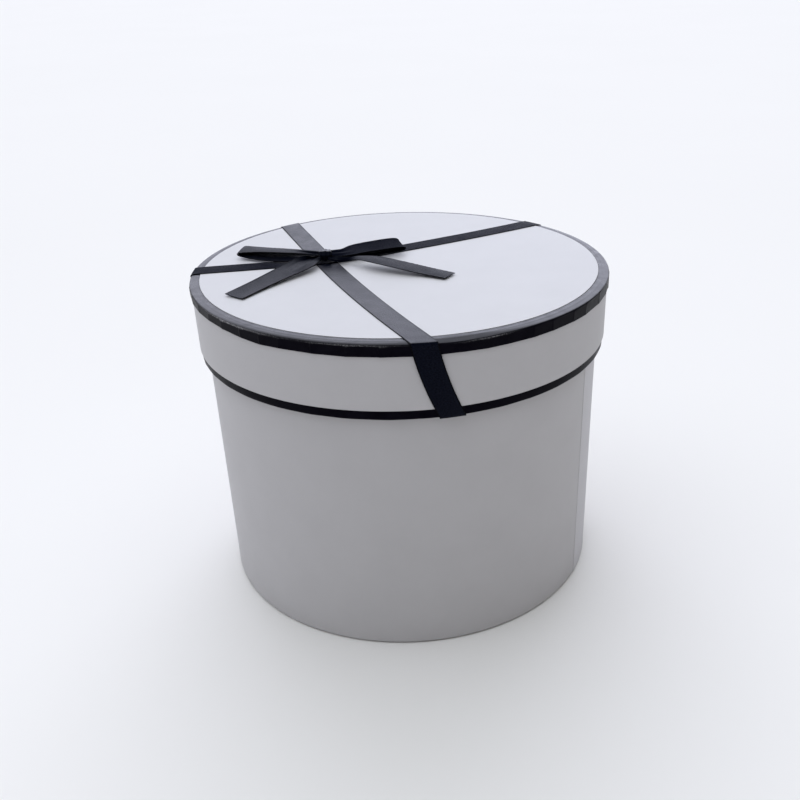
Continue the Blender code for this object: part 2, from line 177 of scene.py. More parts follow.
def turned(name, outline, angles, material, warp=None):
    """Revolve a closed outline of (radius, height) about Z; warp moves each point a little."""
    points = []
    rings = []
    for radius, height in outline:
        if radius < 1e-9:
            rings.append([len(points)] * len(angles))
            points.append((0.0, 0.0, height))
            continue
        rings.append(list(range(len(points), len(points) + len(angles))))
        for angle in angles:
            r, z = warp(angle, radius, height) if warp else (radius, height)
            points.append((r * math.cos(angle), r * math.sin(angle), z))
    faces = []
    for this, after in zip(rings, rings[1:] + rings[:1]):
        if this[0] == this[1] and after[0] == after[1]:
            continue
        for a, b, c, d in zip(this, this[1:] + this[:1], after[1:] + after[:1], after):
            faces.append(tuple(dict.fromkeys((a, b, c, d))))
    return make_object(name, points, faces, material)


# --- materials ------------------------------------------------------------------------------------
def blank(name):
    material = bpy.data.materials.new(name)
    material.use_nodes = True
    tree = material.node_tree
    return material, tree, tree.nodes["Principled BSDF"]


def add(tree, kind, settings=None, **inputs):
    """New node with its settings and inputs; an input may be a value or another node's output."""
    node = tree.nodes.new(kind)
    for key, value in (settings or {}).items():
        setattr(node, key, value)
    for key, value in inputs.items():
        socket = node.inputs[int(key[1:])] if key[0] == "i" and key[1:].isdigit() else node.inputs[key]
        if isinstance(value, bpy.types.NodeSocket):
            tree.links.new(value, socket)
        else:
            socket.default_value = value
    return node


def noise_at(tree, place, scale, detail=2.0, roughness=0.5, distortion=0.0):
    node = add(tree, "ShaderNodeTexNoise", Vector=place, Scale=scale, Detail=detail,
               Roughness=roughness, Distortion=distortion)
    return node.outputs["Fac"]


def spread(tree, value, low, high, from_low=0.3, from_high=0.7):
    """Map a value onto a wanted range."""
    node = add(tree, "ShaderNodeMapRange", i0=value, i1=from_low, i2=from_high, i3=low, i4=high)
    return node.outputs[0]


def mixed(tree, share, first, second):
    """Colour between two colours."""
    node = add(tree, "ShaderNodeMix", {"data_type": "RGBA"}, i0=share, i6=first, i7=second)
    return node.outputs[2]


def summed(tree, first, second, weight):
    """First value plus weight times the second."""
    node = add(tree, "ShaderNodeMath", {"operation": "MULTIPLY_ADD"}, i0=second, i1=weight, i2=first)
    return node.outputs[0]


def bumped(tree, shader, height, distance, strength):
    node = add(tree, "ShaderNodeBump", Height=height, Distance=distance, Strength=strength)
    tree.links.new(node.outputs["Normal"], shader.inputs["Normal"])


def paper(name, light, dark, roughness, gloss):
    """Coated covering paper: soft mottling, short fibres and a fine tooth."""
    material, tree, shader = blank(name)
    place = add(tree, "ShaderNodeTexCoord").outputs["Object"]
    mottle = noise_at(tree, place, 45.0, 4.0, 0.6)
    fibres = noise_at(tree, place, 900.0, 3.0, 0.6, 1.5)
    tooth = noise_at(tree, place, 3800.0, 2.0)
    tone = summed(tree, mottle, fibres, 0.35)
    colour = mixed(tree, spread(tree, tone, 0.0, 1.0, 0.42, 0.92), (*dark, 1.0), (*light, 1.0))
    tree.links.new(colour, shader.inputs["Base Color"])
    rough = spread(tree, fibres, roughness - 0.05, roughness + 0.05)
    tree.links.new(rough, shader.inputs["Roughness"])
    shader.inputs["Specular IOR Level"].default_value = gloss
    bumped(tree, shader, summed(tree, fibres, tooth, 0.6), 0.04 * MM, 0.5)
    return material


def black_paper(name, roughness, index):
    """Glossy black paper, faintly pebbled, with soft dents where it was rubbed down.

    Where the mesh marks the fold, pale grey flecks are painted: the white core where it is worn, and a
    painted highlight along the fold.
    """
    material, tree, shader = blank(name)
    place = add(tree, "ShaderNodeTexCoord").outputs["Object"]
    dents = noise_at(tree, place, 160.0, 3.0, 0.55, 0.6)
    pebble = noise_at(tree, place, 1500.0, 2.0)
    colour = mixed(tree, spread(tree, dents, 0.0, 1.0), (0.003, 0.0025, 0.005, 1.0),
                   (0.005, 0.0045, 0.008, 1.0))
    # mark of wear and painted highlight along the fold: pale grey flecks are painted over the black
    wear_and_glint = add(tree, "ShaderNodeAttribute", {"attribute_name": "wear_and_glint"}).outputs["Fac"]
    flecks = spread(tree, pebble, 0.25, 1.0, 0.42, 0.62)
    bare_core_and_glint = add(tree, "ShaderNodeMath", {"operation": "MULTIPLY"}, i0=wear_and_glint, i1=flecks).outputs[0]
    tree.links.new(mixed(tree, bare_core_and_glint, colour, (0.50, 0.49, 0.50, 1.0)),
                   shader.inputs["Base Color"])
    tree.links.new(spread(tree, dents, roughness - 0.05, roughness + 0.07),
                   shader.inputs["Roughness"])
    shader.inputs["IOR"].default_value = index
    shader.inputs["Specular Tint"].default_value = (0.03, 0.03, 0.03, 1.0)
    bumped(tree, shader, summed(tree, dents, pebble, 0.10), 0.12 * MM, 0.35)
    return material


def satin(name, index, smooth=0.36):
    """Black satin ribbon: long floats along it, so that it shines across, and matt selvages.

    The refractive index sets how far the floats shine at a low angle.
    """
    material, tree, shader = blank(name)
    cloth = add(tree, "ShaderNodeUVMap", {"uv_map": "cloth"}).outputs["UV"]
    split = add(tree, "ShaderNodeSeparateXYZ", Vector=cloth)
    across = split.outputs["X"]
    along = split.outputs["Y"]
    stretched = add(tree, "ShaderNodeMapping", Vector=cloth, Scale=(90.0, 5.0, 1.0))
    threads = noise_at(tree, stretched.outputs["Vector"], 1.0, 3.0, 0.6)
    weft = add(tree, "ShaderNodeMapping", Vector=cloth, Scale=(14.0, 26.0, 1.0))
    picks = noise_at(tree, weft.outputs["Vector"], 1.0, 2.0)
    slow = noise_at(tree, cloth, 1.2, 2.0)
    centred = add(tree, "ShaderNodeMath", {"operation": "SUBTRACT"}, i0=across, i1=0.5).outputs[0]
    off_centre = add(tree, "ShaderNodeMath", {"operation": "ABSOLUTE"}, i0=centred).outputs[0]
    selvage = add(tree, "ShaderNodeMapRange", {"interpolation_type": "SMOOTHSTEP"},
                  i0=off_centre, i1=0.445, i2=0.47, i3=0.0, i4=1.0).outputs[0]
    weave = summed(tree, spread(tree, picks, 0.0, 1.0), threads, 0.3)
    woven = mixed(tree, spread(tree, weave, 0.0, 1.0, 0.1, 1.2), (0.0, 0.0, 0.003, 1.0),
                  (0.007, 0.009, 0.018, 1.0))
    colour = mixed(tree, selvage, woven, (0.002, 0.002, 0.003, 1.0))
    tree.links.new(colour, shader.inputs["Base Color"])
    rough = spread(tree, slow, smooth, smooth + 0.08)
    rough = summed(tree, rough, selvage, 0.22)
    tree.links.new(rough, shader.inputs["Roughness"])
    shader.inputs["IOR"].default_value = index
    shader.inputs["Specular Tint"].default_value = (0.03, 0.03, 0.03, 1.0)
    shader.inputs["Anisotropic"].default_value = 0.8
    tangent = add(tree, "ShaderNodeTangent", {"direction_type": "UV_MAP", "uv_map": "cloth"})
    tree.links.new(tangent.outputs["Tangent"], shader.inputs["Tangent"])
    ridges = add(tree, "ShaderNodeMath", {"operation": "SINE"},
                 i0=add(tree, "ShaderNodeMath", {"operation": "MULTIPLY"}, i0=along,
                        i1=TURN * RIBBON_WIDTH / STITCH).outputs[0]).outputs[0]
    corded = add(tree, "ShaderNodeMath", {"operation": "MULTIPLY"}, i0=ridges, i1=selvage)
    relief = summed(tree, threads, picks, 1.2)
    relief = summed(tree, relief, corded.outputs[0], 0.7)
    bumped(tree, shader, relief, 0.08 * MM, 0.9)
    return material


def greyboard(name):
    """Grey recycled board with brown and pale fibres."""
    material, tree, shader = blank(name)
    place = add(tree, "ShaderNodeTexCoord").outputs["Object"]
    clumps = noise_at(tree, place, 220.0, 5.0, 0.65)
    flecks = noise_at(tree, place, 1400.0, 2.0, 0.5, 2.0)
    colour = mixed(tree, spread(tree, clumps, 0.0, 1.0), (0.33, 0.30, 0.26, 1.0),
                   (0.50, 0.47, 0.43, 1.0))
    tree.links.new(colour, shader.inputs["Base Color"])
    tree.links.new(spread(tree, flecks, 0.82, 0.95), shader.inputs["Roughness"])
    bumped(tree, shader, summed(tree, clumps, flecks, 0.5), 0.08 * MM, 0.6)
    return material


def pale_floor(name):
    material, tree, shader = blank(name)
    place = add(tree, "ShaderNodeTexCoord").outputs["Object"]
    grain = noise_at(tree, place, 2.0, 2.0)
    colour = mixed(tree, grain, (0.87, 0.853, 0.82, 1.0), (0.89, 0.872, 0.84, 1.0))
    tree.links.new(colour, shader.inputs["Base Color"])
    shader.inputs["Roughness"].default_value = 0.9
    shader.inputs["Specular IOR Level"].default_value = 0.1
    return material


WRAP_PAPER = paper("wrap_paper", (0.563, 0.550, 0.556), (0.540, 0.527, 0.533), 0.52, 0.25)
DOUBLE_PAPER = paper("double_wrap_paper", (0.630, 0.620, 0.640), (0.606, 0.596, 0.616), 0.52, 0.25)
LID_PAPER = paper("lid_paper", (0.601, 0.594, 0.598), (0.579, 0.572, 0.576), 0.50, 0.25)
LINING = paper("lining", (0.80, 0.80, 0.79), (0.76, 0.76, 0.75), 0.68, 0.25)
RING_PAPER = black_paper("black_ring_paper", 0.30, 1.42)
FOLDED_PAPER = black_paper("black_folded_paper", 0.34, 1.12)
SATIN = satin("satin_ribbon", 1.345)
BOW_SATIN = satin("satin_ribbon_bow", 1.25)
DULL_SATIN = satin("satin_ribbon_dull", 1.06, 0.30)
GREYBOARD = greyboard("greyboard_fibres")


def piece(obj, body, slot, *nodes):
    """Put a finished piece on its body, in place of its CAD nodes; the slot is not used."""
    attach(obj, body)
    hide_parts(*nodes)
    return obj


# --- papers of the base ---------------------------------------------------------------------------
ROUND = evenly(288)
LAP = 0.22 * MM                # step where one end of a paper laps over the other
WRAP_TURN_IN = 12.0 * MM       # width of the wrap folded in over the mouth and under the floor
WRAP_SEAM = -29.6              # bearings of the papers' seams, in degrees; the front is at -90
LINING_SEAM = 75.0
BAND_SEAM = 62.0
HEM_SEAM = 205.0
LID_LINING_SEAM = 300.0
WRAP_LAP = 36.0 * MM           # widths over which the papers lap
LINING_LAP = 10.0 * MM
BAND_LAP = 12.0 * MM
LID_LINING_LAP = 9.0 * MM


def lapped(seam, lap_width, tremble):
    """Warp of a ring of paper: a lap from the seam's bearing on, and a slight unevenness all round."""
    def warp(angle, radius, height):
        past = (angle - math.radians(seam)) % TURN * radius
        lift = LAP * (1.0 - past / lap_width) if past < lap_width else 0.0
        around = Vector((math.cos(angle), math.sin(angle), height * 9.0)) * 2.3
        return radius + lift + tremble * noise.noise(around), height
    return warp


def with_seam(angles, seam):
    """Add the three close angles that make a lap's edge crisp."""
    edge = math.radians(seam) % TURN
    extra = [edge - 0.0006, edge + 0.00002, edge + 0.0012]
    return sorted(angles + extra)


def whiten_lap(mesh):
    """A lighter, bluer paper on the wrap from its seam on round, over the lap's width."""
    mesh.materials.append(DOUBLE_PAPER)
    for face in mesh.polygons:
        past = (math.atan2(face.center.y, face.center.x) - math.radians(WRAP_SEAM)) % TURN
        face.material_index = 1 if past * BODY < WRAP_LAP else 0


def base_papers():
    wrap_low = bottom_of("base_outer_wrap")
    lining_face = radius_of("base_inner_lining") - PAPER
    half = PAPER / 2.0
    wrap = filleted([
        (BODY - WRAP_TURN_IN, wrap_low + half, 0.0),
        (BODY - half, wrap_low + half, 0.8 * MM),
        (BODY - half, MOUTH - half, 0.9 * MM),
        (lining_face + half, MOUTH - half, 0.9 * MM),
        (lining_face + half, MOUTH - WRAP_TURN_IN, 0.0),
    ])
    outer_wrap = turned("outer_wrap_paper", thickened(divided(wrap, 8.0 * MM), PAPER),
                        with_seam(ROUND, WRAP_SEAM), WRAP_PAPER,
                        lapped(WRAP_SEAM, WRAP_LAP, 0.05 * MM))
    whiten_lap(outer_wrap.data)
    piece(outer_wrap, "base", "white_wrap", "base_outer_wrap")

    lining_low = bottom_of("base_inner_lining")
    lining_high = top_of("base_inner_lining")
    lining = [Vector((lining_face + half, lining_low)), Vector((lining_face + half, lining_high))]
    piece(turned("wall_lining_paper", thickened(divided(lining, 10.0 * MM), PAPER),
                 with_seam(ROUND, LINING_SEAM), LINING, lapped(LINING_SEAM, LINING_LAP, 0.02 * MM)),
          "base", "lining_paper", "base_inner_lining")

    floor_low = bottom_of("base_floor_lining")
    piece(turned("floor_lining_paper", disc_outline(radius_of("base_floor_lining"), floor_low),
                 ROUND, LINING, rippled(0.02 * MM)),
          "base", "lining_paper", "base_floor_lining")
    piece(turned("underside_paper", disc_outline(radius_of("base_underside_paper"), 0.0),
                 ROUND, WRAP_PAPER),
          "base", "white_wrap", "base_underside_paper")


def disc_outline(radius, low):
    """Paper disc with an eased cut edge."""
    high = low + PAPER
    ease = 0.06 * MM
    inward = [radius * share for share in (0.94, 0.8, 0.6, 0.4, 0.2)]
    return ([(0.0, low)] + [(r, low) for r in reversed(inward)]
            + [(radius - ease, low), (radius, low + ease), (radius, high - ease),
               (radius - ease, high)]
            + [(r, high) for r in inward] + [(0.0, high)])


def rippled(size):
    """Warp of a disc that was pasted down by hand: hardly uneven."""
    def warp(angle, radius, height):
        spot = Vector((radius * math.cos(angle), radius * math.sin(angle), 0.0)) * 22.0
        return radius, height + size * (noise.noise(spot) - 0.4)
    return warp


# --- papers of the lid ----------------------------------------------------------------------------
TAB_COUNT = 54
SKIRT_LOW = TOP - 6.2 * MM     # lower edge of the folded-down tabs
SHOULDER = 0.45 * MM           # radius of the cover's fold at the rim
RING_WIDTH = 5.0 * MM          # of the black ring as drawn, before it is fitted round the disc
HEM_HEIGHT = 8.5 * MM          # of the black hem outside the lid
HEM_TURN_IN = 10.0 * MM        # and inside it
DEEPEST_ROLL = -78.0           # bearing where the rim's edge is rolled down furthest
ROLL_SPREAD = 10.0             # how quickly that eases off, in degrees


def snipped_tabs():
    """Start angles of the black cover's folded-down tabs, each with its own cut."""
    draw = random.Random(11)
    widths = [draw.uniform(0.72, 1.28) for _tab in range(TAB_COUNT)]
    ends = [draw.uniform(-0.14, 0.14) * MM for _tab in range(TAB_COUNT)]
    unit = TURN / sum(widths)
    tabs = []
    start = math.radians(4.0)
    for index, width in enumerate(widths):
        tabs.append({"start": start, "width": width * unit,
                     "ends": (ends[index], ends[(index + 1) % TAB_COUNT]),
                     "proud": draw.uniform(0.04, 0.13) * MM,
                     "tilt": draw.uniform(-0.05, 0.12) * MM})
        start += width * unit
    return tabs


TABS = snipped_tabs()


def tab_angles():
    """Angles round the cover, close together at each cut and even between."""
    angles = []
    for tab in TABS:
        cuts = [0.0, 0.0010, 0.005]
        steps = max(6, round(tab["width"] / math.radians(0.55)))
        cuts += [step / steps * tab["width"] for step in range(1, steps)]
        cuts.append(tab["width"] - 0.005)
        angles += [tab["start"] + cut for cut in cuts]
    return sorted(angle % TURN for angle in angles)


def tab_under(angle):
    """The tab at an angle, and how far across it the angle is, from 0 to 1."""
    for tab in TABS:
        past = (angle - tab["start"]) % TURN
        if past < tab["width"]:
            return tab, past / tab["width"]
    return TABS[-1], 1.0


def disc_edge_at(angle):
    """Distance from the lid's axis to the edge of the white disc, which sits a little off it."""
    along = DISC_CENTRE.x * math.cos(angle) + DISC_CENTRE.y * math.sin(angle)
    aside = DISC_CENTRE.y * math.cos(angle) - DISC_CENTRE.x * math.sin(angle)
    return along + math.sqrt(DISC * DISC - aside * aside)


def bearing_of(angle):
    """The same angle in degrees, from -180 to 180; the front is at -90."""
    return (math.degrees(angle) + 180.0) % 360.0 - 180.0


def deepest_share(at):
    """How near a bearing is to the place of the deepest roll, from 1 there to 0."""
    return math.exp(-((at - DEEPEST_ROLL) / ROLL_SPREAD) ** 2)


def rolled_off(angle):
    """How far the rim's edge is rolled down, in millimetres: well along the front, hardly elsewhere."""
    at = bearing_of(angle)
    along_front = smoothstep(-148.0, -134.0, at) * (1.0 - smoothstep(-68.0, -52.0, at))
    return 0.12 + along_front * (0.50 + 0.55 * deepest_share(at))


def tab_shortened(angle):
    """How much shorter the tabs were snipped round the left of the lid, in millimetres."""
    at = bearing_of(angle)
    return 1.5 * (smoothstep(-126.0, -147.0, at) + smoothstep(150.0, 180.0, at))


def cover_warp():
    """Warp of the black cover: fitted round the disc, with its creases and flat snipped tabs."""
    known = {}
    drawn_edge = RIM - RING_WIDTH
    fold_start = RIM - SHOULDER

    def warp(angle, radius, height):
        if radius < drawn_edge - 2.5 * MM:
            return radius, height
        if angle not in known:
            known[angle] = (*tab_under(angle), disc_edge_at(angle), rolled_off(angle),
                            tab_shortened(angle))
        tab, share, edge, rolled, shorter = known[angle]
        # shoulder: short puckers where the paper turns down
        at_fold = math.exp(-((height - (RING_FACE - 0.3 * MM)) / (0.45 * MM)) ** 2)
        at_fold *= smoothstep(RIM - 1.2 * MM, RIM - 0.5 * MM, radius)
        pucker = noise.noise(Vector((math.cos(angle) * 75.0, math.sin(angle) * 75.0, 4.0)))
        pucker += 0.6 * noise.noise(Vector((math.cos(angle) * 160.0, math.sin(angle) * 160.0, 8.0)))
        radius += 0.06 * MM * at_fold * pucker
        height += 0.05 * MM * at_fold * abs(pucker)
        # ring: a low ridge along it, creases, and the rolled edge
        out = min((radius - drawn_edge) / RING_WIDTH, 1.0)
        low = min(max((RING_FACE - height) / (RING_FACE - SKIRT_LOW), 0.0), 1.0)
        down = smoothstep(RING_FACE - 0.3 * MM, RING_FACE - 1.1 * MM, height)
        if out > 0.0 and low < 0.15:
            height += 0.08 * MM * math.exp(-((out - 0.42) / 0.10) ** 2)
            swirl = Vector((math.cos(angle + radius * 9.0) * 26.0,
                            math.sin(angle + radius * 9.0) * 26.0, radius * 210.0))
            height += 0.035 * MM * smoothstep(0.0, 0.3, out) * (1.0 - down) * noise.noise(swirl)
        start = 0.70 - 0.50 * deepest_share(bearing_of(angle))
        if out > start:
            height -= rolled * MM * ((out - start) / (1.0 - start)) ** 1.5 * (1.0 - low)
        # skirt: flat tabs that lap over each other
        if down > 0.0:
            half = tab["width"] / 2.0
            flat = radius * math.cos(half) / math.cos((share - 0.5) * tab["width"])
            flat += 0.10 * MM + tab["proud"] * (1.0 - share) + tab["tilt"] * low
            radius += (flat - radius) * down
            first, last = tab["ends"]
            height -= (first + (last - first) * share - shorter * MM) * low * down
        # fit the ring round the white disc
        if radius <= drawn_edge:
            radius += edge - drawn_edge
        elif radius < fold_start:
            radius = edge + (radius - drawn_edge) * (fold_start - edge) / (fold_start - drawn_edge)
        return radius, height
    return warp


# Stretches of the rim's fold where the black is rubbed off and a highlight is painted along it:
# bearing, half width, strength.
WEAR_AND_GLINT_STRETCHES = ((-138.0, 12.0, 0.9), (-103.0, 9.0, 0.35), (-70.0, 5.0, 0.4), (-177.0, 4.0, 0.6),
                  (-20.0, 7.0, 0.3), (120.0, 12.0, 0.4), (48.0, 9.0, 0.4))


def paint_fold_wear_and_glint(mesh):
    """Mark where the fold is worn and a highlight is painted along it, and give the folded-down tabs
    the duller paper.
    """
    wear_and_glint = mesh.attributes.new("wear_and_glint", "FLOAT", "POINT")
    for index, vertex in enumerate(mesh.vertices):
        if math.hypot(vertex.co.x, vertex.co.y) < RIM - 0.8 * MM:
            continue
        at = bearing_of(math.atan2(vertex.co.y, vertex.co.x))
        share = sum(strength * math.exp(-((at - middle) / width) ** 2)
                    for middle, width, strength in WEAR_AND_GLINT_STRETCHES)
        # strongest where the fold faces halfway up: worn white core and painted highlight
        wear_and_glint.data[index].value = share * math.exp(-((vertex.normal.z - 0.50) / 0.24) ** 2)
    mesh.materials.append(FOLDED_PAPER)
    for face in mesh.polygons:
        if math.hypot(face.center.x, face.center.y) > BAND and face.center.z < RING_FACE - SHOULDER:
            face.material_index = 1


def lid_papers():
    half = EDGING / 2.0
    drawn_edge = RIM - RING_WIDTH
    cover = filleted([
        (0.0, RING - half, 0.0),
        (drawn_edge - 1.0 * MM, RING - half, 0.0),
        (drawn_edge + 0.02 * MM + half, RING - half, 0.10 * MM),
        (drawn_edge + 0.06 * MM + half, RING_FACE - half, 0.10 * MM),
        (RIM - half, RING_FACE - half, SHOULDER),
        (BAND + 0.32 * MM + half, SKIRT_LOW, 0.0),
    ], steps=6)
    black_cover = turned("black_cover_paper",
                         thickened(divided(cover, 0.35 * MM, drawn_edge), EDGING),
                         tab_angles(), RING_PAPER, cover_warp())
    paint_fold_wear_and_glint(black_cover.data)
    piece(black_cover, "lid", "black_edging", "lid_black_cover")

    disc = turned("white_top_disc", disc_outline(DISC, TOP - PAPER), ROUND, LID_PAPER,
                  disc_edge_warp())
    disc.data.transform(Matrix.Translation(DISC_CENTRE))
    piece(disc, "lid", "white_lid_paper", "lid_top_paper")

    half = PAPER / 2.0
    band_low = bottom_of("lid_side_paper")
    band_high = top_of("lid_side_paper")
    band = [Vector((BAND - half, band_low)), Vector((BAND - half, band_high))]
    piece(turned("white_side_band", thickened(divided(band, 4.0 * MM), PAPER),
                 with_seam(ROUND, BAND_SEAM), WRAP_PAPER, lapped(BAND_SEAM, BAND_LAP, 0.03 * MM)),
          "lid", "white_lid_paper", "lid_side_paper")

    lining_outer = radius_of("lid_inner_lining")
    hem = filleted([
        (HEM - half, LID_LOW + HEM_HEIGHT, 0.0),
        (HEM - half, LID_LOW + half, 0.7 * MM),
        (lining_outer - half, LID_LOW + half, 0.7 * MM),
        (lining_outer - half, LID_LOW + HEM_TURN_IN, 0.0),
    ])
    piece(turned("black_hem_paper", thickened(divided(hem, 1.2 * MM), PAPER),
                 with_seam(ROUND, HEM_SEAM), FOLDED_PAPER, hem_warp()),
          "lid", "black_edging", "lid_hem_edging")

    lining = [Vector((lining_outer - half, bottom_of("lid_inner_lining"))),
              Vector((lining_outer - half, top_of("lid_inner_lining")))]
    piece(turned("lid_lining_paper", thickened(divided(lining, 6.0 * MM), PAPER),
                 with_seam(ROUND, LID_LINING_SEAM), LINING,
                 lapped(LID_LINING_SEAM, LID_LINING_LAP, 0.0)),
          "lid", "lining_paper", "lid_inner_lining")
    piece(turned("ceiling_paper", disc_outline(radius_of("lid_ceiling_lining"),
                                               bottom_of("lid_ceiling_lining")), ROUND, LINING),
          "lid", "lining_paper", "lid_ceiling_lining")


def disc_edge_warp():
    """The white disc was cut with a knife: its edge wanders by less than a tenth of a millimetre."""
    def warp(angle, radius, height):
        if radius > DISC - 0.5 * MM:
            radius += 0.07 * MM * noise.noise(Vector((math.cos(angle) * 3.0,
                                                      math.sin(angle) * 3.0, 0.0)))
        return radius, height
    return warp


def hem_warp():
    """The hem is folded in short straight lengths, so that its lower edge has faint corners."""
    lengths = 38

    def warp(angle, radius, height):
        step = TURN / lengths
        wander = 0.25 * noise.noise(Vector((math.cos(angle) * 2.0, math.sin(angle) * 2.0, 1.0)))
        share = ((angle / step + wander) % 1.0) - 0.5
        low = 1.0 - smoothstep(LID_LOW, LID_LOW + 5.0 * MM, height)
        radius -= 0.16 * MM * low * (0.25 - share * share) * 4.0
        ripple = noise.noise(Vector((math.cos(angle) * 9.0, math.sin(angle) * 9.0, 2.0)))
        return radius, height + 0.10 * MM * low * ripple
    return warp


# --- ribbons ----------------------------------------------------------------------------------------
def across_steps(count):
    """Places across a ribbon from -1 to 1, closer together at the selvages."""
    inner = [-0.86 + 1.72 * step / count for step in range(count + 1)]
    return [-1.0, -0.975, -0.94, -0.90] + inner + [0.90, 0.94, 0.975, 1.0]


def selvage_thickness(place, travelled, cord):
    """Half thickness of the cloth: a rounded edge, a corded selvage with small loops."""
    edge = abs(place)
    round_off = math.sqrt(max(0.0, 1.0 - smoothstep(0.955, 1.0, edge) * 0.75))
    bead = cord * math.exp(-((edge - 0.94) / 0.035) ** 2)
    loops = 1.0 + 0.8 * math.sin(TURN * travelled / STITCH)
    return RIBBON / 2.0 * (round_off + bead * loops)


def ribbon_sheet(name, rows, places, material, loops=False):
    """Thin closed ribbon from rows of middle points, one point for each place across."""
    count = len(rows)
    width = len(places)
    travelled = [0.0]
    middle = width // 2
    for this, after in zip(rows, rows[1:]):
        travelled.append(travelled[-1] + (after[middle] - this[middle]).length)
    points = []
    flat = []
    for side in (1.0, -1.0):
        for i, row in enumerate(rows):
            from_end = min(travelled[i], travelled[-1] - travelled[i])
            cord = 0.45 * smoothstep(0.0, 1.2 * MM, from_end)
            before = rows[max(i - 1, 0)]
            after = rows[min(i + 1, count - 1)]
            for j, point in enumerate(row):
                along = after[j] - before[j]
                over = row[min(j + 1, width - 1)] - row[max(j - 1, 0)]
                normal = along.cross(over).normalized()
                half = selvage_thickness(places[j], travelled[i] if loops else 0.0, cord)
                points.append(point + normal * (half * side))
                flat.append(((places[j] + 1.0) / 2.0, travelled[i] / RIBBON_WIDTH))
    faces = []
    size = count * width
    for i in range(count - 1):
        for j in range(width - 1):
            a = i * width + j
            faces.append((a, a + 1, a + 1 + width, a + width))
            faces.append((a + size, a + size + width, a + size + 1 + width, a + size + 1))
    border = [(i, 0) for i in range(count)]
    border += [(count - 1, j) for j in range(1, width)]
    border += [(i, width - 1) for i in range(count - 2, -1, -1)]
    border += [(0, j) for j in range(width - 2, 0, -1)]
    for (i, j), (k, m) in zip(border, border[1:] + border[:1]):
        a = i * width + j
        b = k * width + m
        faces.append((a, b, b + size, a + size))
    obj = make_object(name, points, faces, material, flat)
    return obj, travelled[-1]


def rim_route():
    """Route of a ribbon's middle past the rim: (radius, height), down the side and in under the hem."""
    clear = LYING + RIBBON / 2.0
    lining_face = radius_of("lid_inner_lining") - PAPER
    return divided(filleted([
        (RIM - 1.2 * MM, RING_FACE + clear, 0.0),
        (RIM + 0.14 * MM + clear, RING_FACE - 0.06 * MM + clear, 0.8 * MM),
        (BAND + 0.10 * MM + clear, LID_LOW - clear, 0.9 * MM),
        (lining_face - clear, LID_LOW - clear, 0.6 * MM),
        (lining_face - clear, LID_LOW + RIBBON_TURN_IN, 0.0),
    ]), 1.2 * MM)


def ribbon_half(bearing, mitre, hump, bow, side_bow, places):
    """Rows of one ribbon from the knot, over the rim, and under the lid's lower edge."""
    along = Vector((math.cos(bearing), math.sin(bearing), 0.0))
    across = Vector((-along.y, along.x, 0.0))
    knot = Vector((KNOT.x, KNOT.y + 0.6 * MM, 0.0))
    route = rim_route()
    turn_over = route[0].x
    lying_z = TOP + LYING + RIBBON / 2.0
    rows = []
    steps = 64
    for step in range(steps):
        share = step / steps
        row = []
        for place in places:
            offset = place * RIBBON_WIDTH / 2.0
            start = knot + mitre * offset
            side = start.dot(across)
            end = math.sqrt(turn_over ** 2 - side ** 2)
            here = start.dot(along) * (1.0 - share) + end * share
            bend = bow * 4.0 * share * (1.0 - share)
            point = along * here + across * (side + bend)
            travelled = here - start.dot(along)
            lift = hump * (1.0 - smoothstep(8.0 * MM, 20.0 * MM, travelled))
            past_disc = (point - DISC_CENTRE).length - DISC
            drop = smoothstep(0.1 * MM, 1.6 * MM, past_disc)
            wave = 0.05 * MM * noise.noise(Vector((point.x * 60.0, point.y * 60.0, 3.0)))
            crown = 0.05 * MM * (1.0 - place * place)
            point.z = lying_z + lift + wave + crown + (RING_FACE - TOP) * drop
            row.append(point)
        rows.append(row)
    turn = math.asin(knot.dot(across) / turn_over)
    side_length = TOP - LID_LOW
    travelled = 0.0
    last = route[0]
    for station in route:
        travelled += (station - last).length
        last = station
        share = min(travelled / side_length, 1.0)
        row = []
        for place in places:
            side = knot.dot(across) + place * RIBBON_WIDTH / 2.0
            at = bearing + math.asin(side / turn_over)
            at += (math.tan(-turn) * travelled + side_bow * 4.0 * share * (1.0 - share)) / RIM
            row.append(Vector((station.x * math.cos(at), station.x * math.sin(at), station.y)))
        rows.append(row)
    return rows


def lid_ribbon(name, node, angles, hump, bows, side_bows, material):
    """One ribbon across the lid: two halves that meet in a mitre under the knot."""
    first, second = (math.radians(angle) for angle in angles)
    first_across = Vector((-math.sin(first), math.cos(first), 0.0))
    second_across = Vector((-math.sin(second), math.cos(second), 0.0))
    mitre = (first_across - second_across) / (1.0 - first_across.dot(second_across))
    places = across_steps(8)
    rows = ribbon_half(first, mitre, hump, bows[0], side_bows[0], places)
    other = ribbon_half(second, -mitre, hump, bows[1], side_bows[1], places)
    rows = [list(reversed(row)) for row in reversed(other)][:-1] + rows
    obj, length = ribbon_sheet(name, rows, places, material)
    piece(obj, "lid", "black_satin", node)


